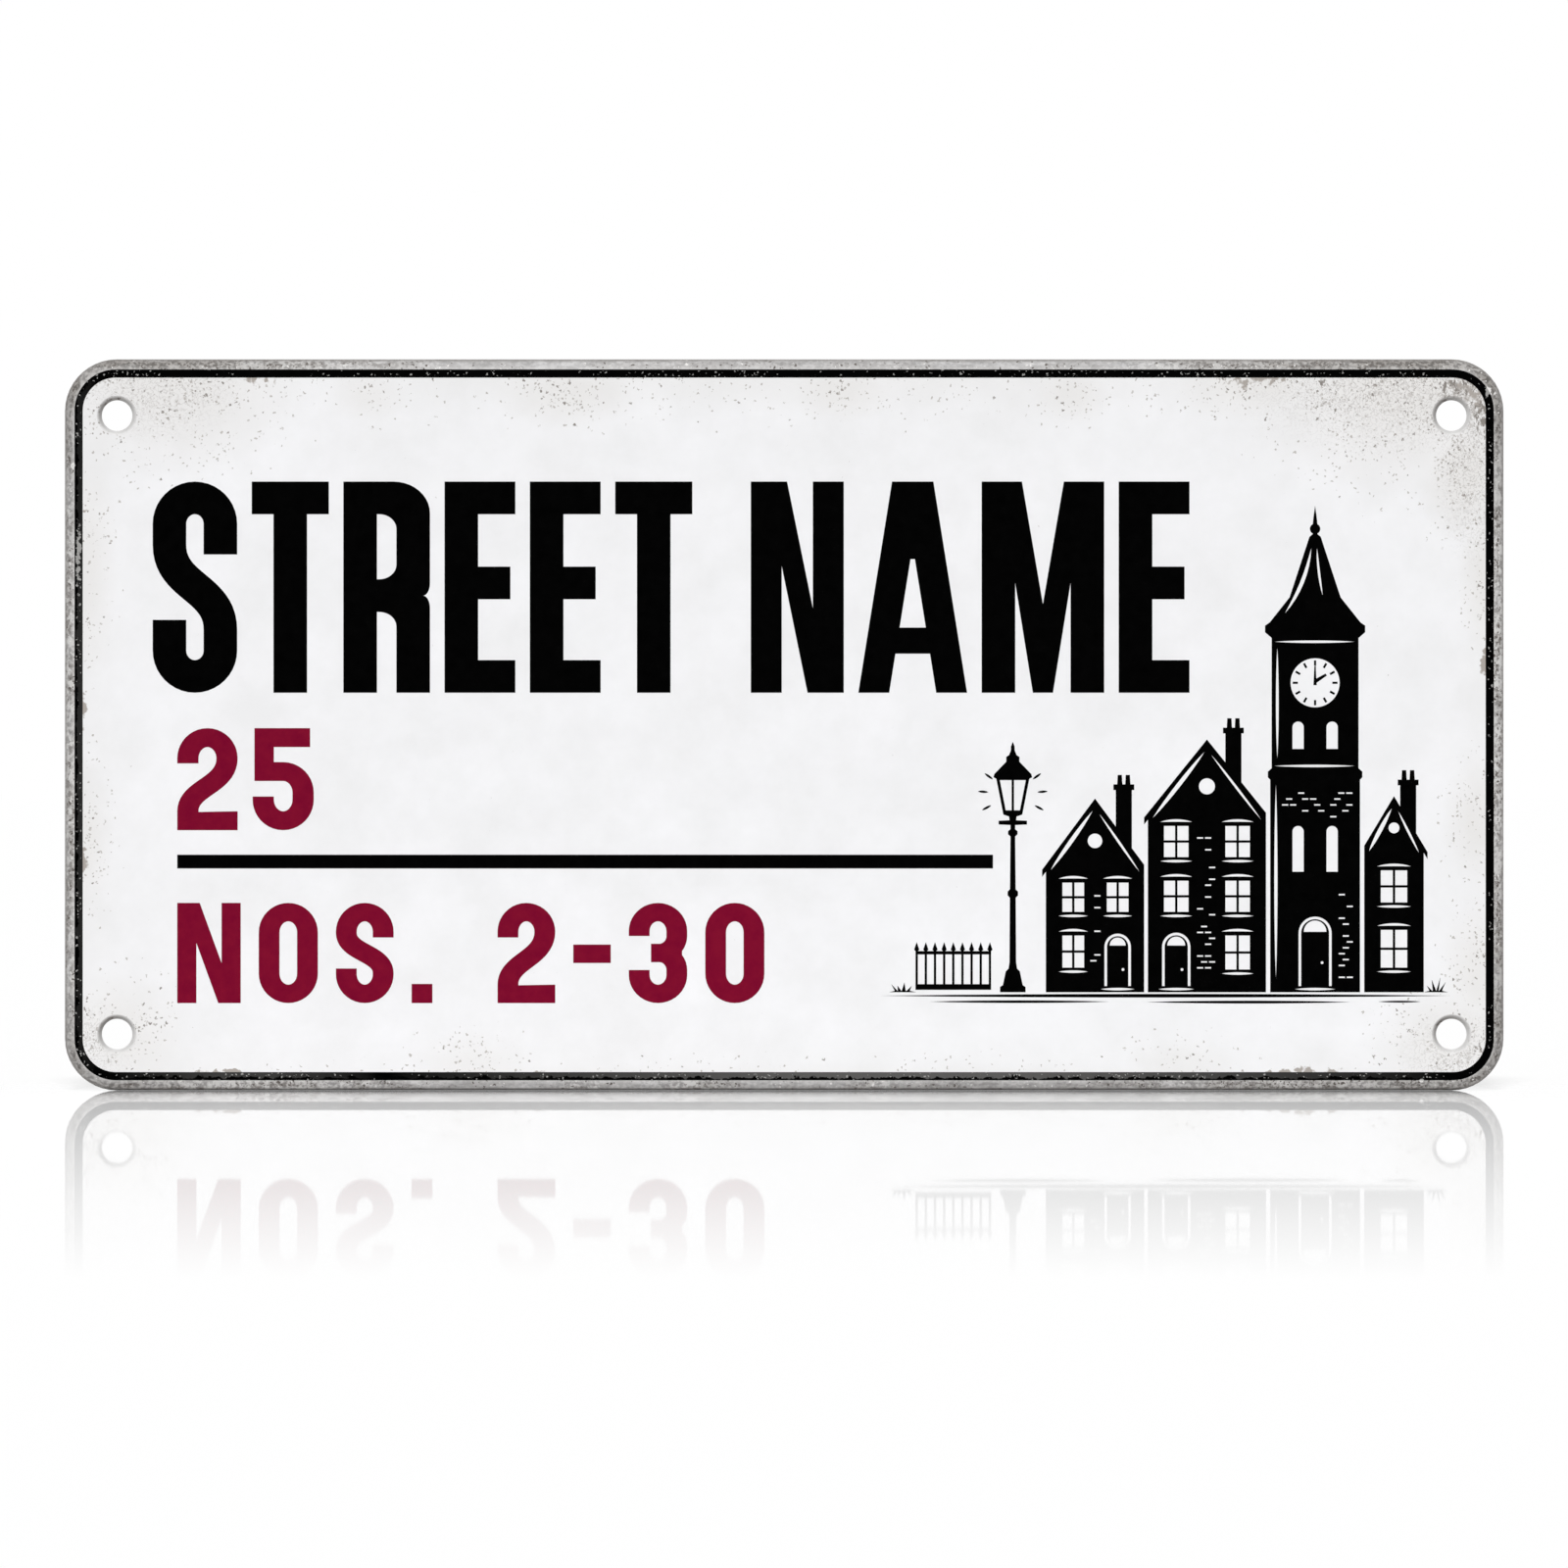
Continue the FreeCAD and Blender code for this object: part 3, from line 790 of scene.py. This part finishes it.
def worn_edge_and_painted_shading(tree, place, bent, inset):
    """The formed edge, worn to grey: streaks along it, blotches, dark specks and light chips.
    A painted highlight runs beside the line, and painted shade along the outermost edge.
    """
    beyond = add(tree, "VectorMath", {0: place}, operation="ABSOLUTE")
    across = add(tree, "SeparateXYZ", {0: beyond}, "X")
    up = add(tree, "SeparateXYZ", {0: beyond}, "Z")
    past_end = add(tree, "Math", {0: across, 1: (WIDTH - HEIGHT) / 2}, operation="SUBTRACT")
    at_side = add(tree, "Math", {0: past_end, 1: up}, operation="GREATER_THAN")
    inputs = {SHARE: at_side, UNDER: (0.3, 1.0, 1.0, 1.0), OVER: (1.0, 1.0, 0.3, 1.0)}
    drawn = add(tree, "Mix", inputs, **COLOURS)
    along = add(tree, "VectorMath", {0: place, 1: drawn}, operation="MULTIPLY")
    streaks = clouds(tree, along, grain=1.6, detail=3.0, roughness=0.65, low=0.35, high=0.65)
    inputs = {SHARE: streaks, UNDER: linear("#9E9D9D"), OVER: linear("#C6C5C5")}
    grey = add(tree, "Mix", inputs, **COLOURS)

    dirty = share_in_areas(tree, place, DIRTY_EDGES)
    inputs = {"Vector": along, "Scale": 1 / 3.5, "Detail": 4.0, "Roughness": 0.7}
    blotches = add(tree, "TexNoise", inputs)
    blotched = add(tree, "MapRange", {0: blotches, 1: 0.45, 2: 0.55, 3: 0.0, 4: 0.85})
    blotched = add(tree, "Math", {0: blotched, 1: dirty}, operation="MULTIPLY")
    grains = clouds(tree, place, grain=0.9, detail=3.0, roughness=0.6, low=0.44, high=0.56)
    inputs = {SHARE: grains, UNDER: linear("#585450"), OVER: linear("#938F8B")}
    dirt = add(tree, "Mix", inputs, **COLOURS)
    inputs = {SHARE: grains, UNDER: linear("#67625E"), OVER: linear("#D6D4D2")}
    pits = add(tree, "Mix", inputs, **COLOURS)
    pitted = add(tree, "Math", {0: dirty, 1: 0.55}, operation="MULTIPLY")
    scraped = patches(tree, place, dirty, grain=1.7, rare=0.75, common=0.52, edge=0.06)
    mottled = add(tree, "MapRange", {0: blotches, 1: 0.4, 2: 0.56, 3: 0.45, 4: 1.0})
    grimy = share_in_areas(tree, place, GRIMY_CORNERS)
    grimy = add(tree, "Math", {0: grimy, 1: mottled}, operation="MULTIPLY")
    # painted highlight: a paler band on the rim just outside the border line
    painted_highlight_band = add(tree, "MapRange", {0: inset, 1: 1.5, 2: 2.1, 3: 0.0, 4: 0.3})

    gathered = add(tree, "MapRange", {0: blotched, 1: 0.05, 2: 0.7, 3: 0.02, 4: 0.8})
    rust = specks(tree, bent, gathered, spacing=0.75, radius=0.36)
    beside_line = add(tree, "MapRange", {0: inset, 1: 0.7, 2: 2.1, 3: 0.03, 4: 0.3})
    chips = specks(tree, bent, beside_line, spacing=0.9, radius=0.3)
    chips = add(tree, "Math", {0: chips, 1: chipped_places(tree, place)}, operation="MAXIMUM")
    # painted shade: a darker band along the rim's outermost edge, where it turns away
    outline = add(tree, "MapRange", {0: inset, 1: 0.15, 2: 0.8, 3: 0.75, 4: 0.0})

    layers = [
        (blotched, linear("#7E7975")),
        (pitted, pits),
        (scraped, linear("#CCCBC9")),
        (grimy, dirt),
        (painted_highlight_band, linear("#DEDCDA")),
        (rust, linear("#544D48")),
        (chips, linear("#E2E0DE")),
        (outline, linear("#7A7673")),
    ]
    for share, colour in layers:
        grey = add(tree, "Mix", {SHARE: share, UNDER: grey, OVER: colour}, **COLOURS)
    return grey


def lip_rust_and_painted_shade(tree, place, colour):
    """Hole lips, greyed, with painted shade darkest under the top of each, and rust specks there."""
    side = add(tree, "VectorMath", {0: place}, operation="SIGN")
    centre = add(tree, "VectorMath", {0: side, 1: (HOLE_X, 0.0, HOLE_Z)}, operation="MULTIPLY")
    from_hole = add(tree, "VectorMath", {0: place, 1: centre}, operation="SUBTRACT")
    from_hole = add(tree, "VectorMath", {0: from_hole, 1: (1.0, 0.0, 1.0)}, operation="MULTIPLY")
    distance = add(tree, "VectorMath", {0: from_hole}, "Value", operation="LENGTH")
    lip_edge = HOLE_RADIUS + LIP_WIDTH
    inputs = {0: distance, 1: lip_edge - 0.5, 2: lip_edge + 0.15, 3: 1.0, 4: 0.0}
    on_lip = add(tree, "MapRange", inputs)
    # painted shade: each lip darkens towards its upper left, where its slope faces away from the light
    shaded_side = (-0.55, 0.0, 0.83)
    above = add(tree, "VectorMath", {0: from_hole, 1: shaded_side}, "Value", operation="DOT_PRODUCT")
    upper = add(tree, "MapRange", {0: above, 1: -1.5, 2: lip_edge, 3: 0.0, 4: 1.0})
    inputs = {SHARE: upper, UNDER: linear("#C8C7C6"), OVER: linear("#736F6C")}
    grime = add(tree, "Mix", inputs, **COLOURS)
    rust = patches(tree, place, upper, grain=1.3, rare=0.95, common=0.47)
    grime = add(tree, "Mix", {SHARE: rust, UNDER: grime, OVER: linear("#5C5550")}, **COLOURS)
    return add(tree, "Mix", {SHARE: on_lip, UNDER: colour, OVER: grime}, **COLOURS)


def printed_side(tree, place, inset):
    """1 on the side of the sheet that was enamelled, and 0 on its bare side and cut edges."""
    least_facing = -0.2
    depth = add(tree, "SeparateXYZ", {0: place}, "Y")
    normal = add(tree, "NewGeometry", {}, "True Normal")
    normal = add(tree, "SeparateXYZ", {0: normal}, "Y")
    skin = add(tree, "Math", {0: normal, 1: least_facing}, operation="LESS_THAN")
    bends = (SHOULDER_RADIUS, FRONT + SHOULDER_RADIUS, -1.0), (BEND_RADIUS, -BEND_RADIUS, 1.0)
    for radius, bend_start, towards in bends:
        sideways = add(tree, "Math", {0: radius, 1: inset}, operation="SUBTRACT")
        past = add(tree, "Math", {0: depth, 1: bend_start}, operation="SUBTRACT")
        past = add(tree, "Math", {0: past, 1: towards}, operation="MULTIPLY")
        reach = add(tree, "CombineXYZ", {"X": sideways, "Y": past})
        reach = add(tree, "VectorMath", {0: reach, 1: (0.0, 0.0, 0.0)}, operation="MAXIMUM")
        reach = add(tree, "VectorMath", {0: reach}, "Value", operation="LENGTH")
        mid_sheet = radius - SHEET_GAUGE / 2
        outside = add(tree, "Math", {0: reach, 1: mid_sheet}, operation="GREATER_THAN")
        skin = add(tree, "Math", {0: skin, 1: outside}, operation="MAXIMUM")
    return skin


def enamelled_tinplate():
    """Stoving enamel on tinplate: a satin, slightly uneven white, worn to grey on the formed edge.
    Painted shade and a painted highlight follow the edge's bend, and painted shade darkens the hole
    lips.

    The eye gets a soft sheen, faint clouding, fine dark specks that gather towards the corners, and
    bare tin with a rolled grain on the side that faces the wall.
    """
    material, tree = new_material("enamelled_tinplate")
    place = millimetres(tree)
    inset = inset_from_edge(tree, place)
    bent = ragged(tree, place)
    white, worn = worn_white(tree, place, bent, inset)
    on_edge = add(tree, "MapRange", {0: inset, 1: 2.2, 2: 2.4, 3: 1.0, 4: 0.0})
    depth = add(tree, "SeparateXYZ", {0: place}, "Y")
    on_return = add(tree, "Math", {0: depth, 1: FRONT + SHOULDER_RADIUS}, operation="GREATER_THAN")
    on_edge = add(tree, "Math", {0: on_edge, 1: on_return}, operation="MAXIMUM")
    edge = worn_edge_and_painted_shading(tree, place, bent, inset)
    enamel = add(tree, "Mix", {SHARE: on_edge, UNDER: white, OVER: edge}, **COLOURS)
    enamel = lip_rust_and_painted_shade(tree, place, enamel)

    # bare tin, with a grain rolled along the sheet
    rolled = add(tree, "VectorMath", {0: place, 1: (0.02, 1.0, 1.0)}, operation="MULTIPLY")
    inputs = {"Vector": rolled, "Scale": 1 / 0.5, "Detail": 3.0, "Roughness": 0.6}
    grain = add(tree, "TexNoise", inputs)
    tin = add(tree, "Mix", {SHARE: grain, UNDER: linear("#B4B4B2"), OVER: linear("#CFCFCD")}, **COLOURS)
    enamelled = printed_side(tree, place, inset)
    colour = add(tree, "Mix", {SHARE: enamelled, UNDER: tin, OVER: enamel}, **COLOURS)
    bare = add(tree, "Math", {0: 1.0, 1: enamelled}, operation="SUBTRACT")

    # satin, rougher where it is worn, and dimpled very slightly as stoved enamel is
    worn = add(tree, "Math", {0: worn, 1: on_edge}, operation="MAXIMUM")
    roughness = add(tree, "MapRange", {0: worn, 1: 0.0, 2: 1.0, 3: 0.42, 4: 0.62})
    orange_peel = add(tree, "TexNoise", {"Vector": place, "Scale": 1 / 1.8, "Detail": 1.0})
    bump = add(tree, "Bump", {"Strength": 0.3, "Distance": 0.02 * MM, "Height": orange_peel})
    inputs = {"Base Color": colour, "Metallic": bare, "Roughness": roughness, "Normal": bump}
    give_surface(tree, add(tree, "BsdfPrincipled", inputs))
    return material


def printing_ink(name, dark, light, chipped):
    """Screen-printed ink: a flat, dense matt colour, faintly clouded by the squeegee.

    chipped is the share of cells with a chip, in the middle of the border line.
    """
    material, tree = new_material(name)
    place = millimetres(tree)
    inset = inset_from_edge(tree, place)
    clouded = clouds(tree, place, grain=2.5, detail=4.0, roughness=0.65, low=0.3, high=0.7)
    ink = add(tree, "Mix", {SHARE: clouded, UNDER: linear(dark), OVER: linear(light)}, **COLOURS)

    # painted sheen: the inner part of the border line is made grey along the bottom, and a little at
    # the left
    uneven = add(tree, "MapRange", {0: clouded, 1: 0.0, 2: 1.0, 3: -0.8, 4: 0.5})
    uneven = add(tree, "Math", {0: inset, 1: uneven}, operation="ADD")
    inner = add(tree, "MapRange", {0: uneven, 1: 2.6, 2: 2.75, 3: 0.0, 4: 1.0})
    line_sheen = share_in_areas(tree, place, LINE_SHEEN_AREAS)
    line_sheen = add(tree, "Math", {0: line_sheen, 1: inner}, operation="MULTIPLY")
    ink = add(tree, "Mix", {SHARE: line_sheen, UNDER: ink, OVER: linear("#626160")}, **COLOURS)

    # chips along the border line, in clusters and most of them in the middle of it
    line_middle = BORDER_INSET + BORDER_WIDTH / 2
    from_middle = add(tree, "Math", {0: inset, 1: line_middle}, operation="SUBTRACT")
    from_middle = add(tree, "Math", {0: from_middle}, operation="ABSOLUTE")
    in_line = add(tree, "MapRange", {0: from_middle, 1: 0.15, 2: 0.85, 3: chipped, 4: 0.0})
    cluster = clouds(tree, place, grain=9.0, detail=3.0, roughness=0.6, low=0.4, high=0.6, least=0.2)
    in_line = add(tree, "Math", {0: in_line, 1: cluster}, operation="MULTIPLY")
    chips = specks(tree, ragged(tree, place), in_line, spacing=0.7, radius=0.25)
    chips = add(tree, "Math", {0: chips, 1: chipped_places(tree, place)}, operation="MAXIMUM")
    ink = add(tree, "Mix", {SHARE: chips, UNDER: ink, OVER: linear("#9C9B99")}, **COLOURS)
    bump = add(tree, "Bump", {"Strength": 0.2, "Distance": 0.02 * MM, "Height": clouded})
    inputs = {"Base Color": ink, "Roughness": 0.45, "Specular IOR Level": 0.01, "Normal": bump}
    give_surface(tree, add(tree, "BsdfPrincipled", inputs))
    return material


# The print on the face


def make_piece(name, mesh, material):
    """Put a mesh on the sign as a piece of its own, with its material."""
    mesh.materials.append(material)
    piece = bpy.data.objects.new(name, mesh)
    bpy.context.scene.collection.objects.link(piece)
    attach(piece, "root")
    return piece


def printed(name, outlines, material):
    """Ink laid on the face: the outlines filled, an outline inside another being left open."""
    drawing = bpy.data.curves.new(name + "_outline", "CURVE")
    drawing.dimensions = "2D"
    drawing.fill_mode = "BOTH"
    drawing.extrude = INK_THICKNESS / 2
    for outline in outlines:
        spline = drawing.splines.new("POLY")
        spline.points.add(len(outline) - 1)
        spline.use_cyclic_u = True
        for point, (x, z) in zip(spline.points, outline):
            point.co = (x, z, 0.0, 1.0)
    holder = bpy.data.objects.new(name + "_outline", drawing)
    bpy.context.scene.collection.objects.link(holder)
    bpy.context.view_layer.update()
    mesh = bpy.data.meshes.new_from_object(holder.evaluated_get(bpy.context.evaluated_depsgraph_get()))
    bpy.data.objects.remove(holder)
    # the drawing's up becomes the frame's up, and its near side the sign's front
    for vertex in mesh.vertices:
        x, z, out = vertex.co
        vertex.co = Vector((x, FRONT - INK_THICKNESS / 2 - out, z)) * MM
    mesh.name = name
    make_piece(name, mesh, material)


def border_line(material):
    """The line round the sign, which starts over the bend of the shoulder and ends on the flat."""
    steps_across, corner_steps = 6, 16
    rows = []
    for step in range(steps_across + 1):
        inset = BORDER_INSET + BORDER_WIDTH * step / steps_across
        bend = max(SHOULDER_RADIUS - inset, 0.0)
        y = FRONT + SHOULDER_RADIUS - math.sqrt(SHOULDER_RADIUS**2 - bend**2)
        radius = CORNER_RADIUS - inset
        x, z = WIDTH / 2 - CORNER_RADIUS, HEIGHT / 2 - CORNER_RADIUS
        ring = []
        for quarter, (sign_x, sign_z) in enumerate(((1, 1), (-1, 1), (-1, -1), (1, -1))):
            for turn in range(corner_steps + 1):
                angle = math.radians(90 * (quarter + turn / corner_steps))
                across, up = radius * math.cos(angle), radius * math.sin(angle)
                ring.append((sign_x * x + across, y, sign_z * z + up))
        rows.append(ring)
    count = len(rows[0])
    vertices = [Vector(point) * MM for ring in rows for point in ring]
    faces = []
    for row in range(steps_across):
        for index in range(count):
            following = (index + 1) % count
            near, far = row * count, (row + 1) * count
            faces.append((near + index, near + following, far + following, far + index))
    mesh = bpy.data.meshes.new("border_line")
    mesh.from_pydata(vertices, [], faces)
    mesh.validate()
    piece = make_piece("border_line", mesh, material)
    skin = piece.modifiers.new("ink thickness", "SOLIDIFY")
    skin.thickness = INK_THICKNESS * MM
    skin.offset = 1.0


plate = frame["nodes"]["sign_plate"]
plate.data.materials.clear()
plate.data.materials.append(enamelled_tinplate())

black_ink = printing_ink("black_printing_ink", "#000000", "#030303", 0.7)
crimson_ink = printing_ink("crimson_printing_ink", "#74082A", "#7E102C", 0.0)

border_line(black_ink)
printed(
    "street_name",
    lettering("STREET NAME", -133.7, 85.8, 6.8, 51.5, 7.1, 6.9, word_space=12.4),
    black_ink,
)
printed(
    "district_number",
    lettering("25", -128.5, -99.6, -22.3, -0.7, 4.5, 4.0, broad=1.48),
    crimson_ink,
)
printed(
    "house_numbers",
    lettering("NOS. 2-30", -128.5, -4.2, -58.9, -37.7, 4.4, 3.9, broad=1.44, word_space=13.0),
    crimson_ink,
)
printed("rule", [box(-128.5, -30.4, 44.2, -27.5)], black_ink)
printed("street_scene", street_scene(), black_ink)


# The stage. Lengths are in metres, except the gap under the sign and the sensor in millimetres, and
# the lamp's spread is in degrees. The floor's gloss has two parts, one near the sign and one right
# at its foot, and each is a share of mirror that fades out over its length.

FLOOR_GAP = 0.04
FLOOR_Z = (LOW.z - FLOOR_GAP) * MM
FLOOR_REACH = 8.0
GLOSS, GLOSS_LENGTH = 0.72, 0.68
FOOT_GLOSS, FOOT_LENGTH = 0.4, 0.04
ROOM_LIGHT = 0.48
LAMP_DIRECTION = (-0.01, -0.5, 1.0)
LAMP_STRENGTH = 1.98
LAMP_SPREAD = 9.0
CAMERA_DISTANCE = 2.0
PHOTO_SIZE = 1600
SIGN_WIDTH_PX = 1467.8
SIGN_CENTRE_PX = (800.2, 739.65)
SENSOR_WIDTH = 36.0


def plain_floor():
    """A pale polished floor whose gloss fades with distance from the sign."""
    mesh = bpy.data.meshes.new("floor")
    corners = [(x, z, FLOOR_Z) for x, z in box(-FLOOR_REACH, -FLOOR_REACH, FLOOR_REACH, FLOOR_REACH)]
    mesh.from_pydata(corners, [], [(0, 1, 2, 3)])
    floor = bpy.data.objects.new("floor", mesh)
    bpy.context.scene.collection.objects.link(floor)
    material, tree = new_material("polished_white_floor")
    place = add(tree, "TexCoord", {}, "Object")
    away = add(tree, "SeparateXYZ", {0: place}, "Y")
    away = add(tree, "Math", {0: away}, operation="ABSOLUTE")
    polish = add(tree, "MapRange", {0: away, 1: 0.0, 2: GLOSS_LENGTH, 3: GLOSS, 4: 0.0})
    at_foot = add(tree, "MapRange", {0: away, 1: 0.0, 2: FOOT_LENGTH, 3: FOOT_GLOSS, 4: 0.0})
    polish = add(tree, "Math", {0: polish, 1: at_foot}, operation="ADD")
    fresnel = add(tree, "Fresnel", {"IOR": 1.5})
    gloss = add(tree, "Math", {0: polish, 1: fresnel}, operation="MULTIPLY")
    matte = add(tree, "BsdfDiffuse", {"Color": linear("#FAFAFA")})
    mirror = add(tree, "BsdfGlossy", {"Color": (1.0, 1.0, 1.0, 1.0), "Roughness": 0.02})
    give_surface(tree, add(tree, "MixShader", {0: gloss, 1: matte, 2: mirror}))
    mesh.materials.append(material)


def studio_light():
    """A white room, and a broad soft lamp above the sign and a little to the left."""
    world = bpy.data.worlds.new("white_studio")
    bpy.context.scene.world = world
    world.use_nodes = True
    tree = world.node_tree
    tree.nodes.clear()
    seen = add(tree, "LightPath", {}, "Is Camera Ray")
    for kind in ("Is Glossy Ray", "Is Transmission Ray"):
        seen = add(tree, "Math", {0: seen, 1: add(tree, "LightPath", {}, kind)}, operation="MAXIMUM")
    strength = add(tree, "MapRange", {0: seen, 1: 0.0, 2: 1.0, 3: ROOM_LIGHT, 4: 1.0})
    background = add(tree, "Background", {"Color": (1.0, 1.0, 1.0, 1.0), "Strength": strength})
    output = tree.nodes.new("ShaderNodeOutputWorld")
    tree.links.new(background, output.inputs["Surface"])

    lamp_data = bpy.data.lights.new("soft_lamp", "SUN")
    lamp_data.energy = LAMP_STRENGTH
    lamp_data.angle = math.radians(LAMP_SPREAD)
    lamp = bpy.data.objects.new("soft_lamp", lamp_data)
    lamp.rotation_euler = Vector(LAMP_DIRECTION).to_track_quat("Z", "Y").to_euler()
    bpy.context.scene.collection.objects.link(lamp)


def photo_camera():
    """Straight on and level with the middle of the sign, shifted down as the photo is framed."""
    data = bpy.data.cameras.new("photo_camera")
    data.sensor_width = SENSOR_WIDTH
    frame_width = WIDTH * MM * PHOTO_SIZE / SIGN_WIDTH_PX
    widest = (FRONT + SHOULDER_RADIUS) * MM
    data.lens = SENSOR_WIDTH * (CAMERA_DISTANCE + widest) / frame_width
    data.shift_x = (PHOTO_SIZE / 2 - SIGN_CENTRE_PX[0]) / PHOTO_SIZE
    data.shift_y = (SIGN_CENTRE_PX[1] - PHOTO_SIZE / 2) / PHOTO_SIZE
    camera = bpy.data.objects.new("photo_camera", data)
    camera.location = (0.0, -CAMERA_DISTANCE, 0.0)
    camera.rotation_euler = (math.pi / 2, 0.0, 0.0)
    bpy.context.scene.collection.objects.link(camera)
    bpy.context.scene.camera = camera


plain_floor()
studio_light()
photo_camera()
bpy.context.scene.view_settings.view_transform = "Standard"
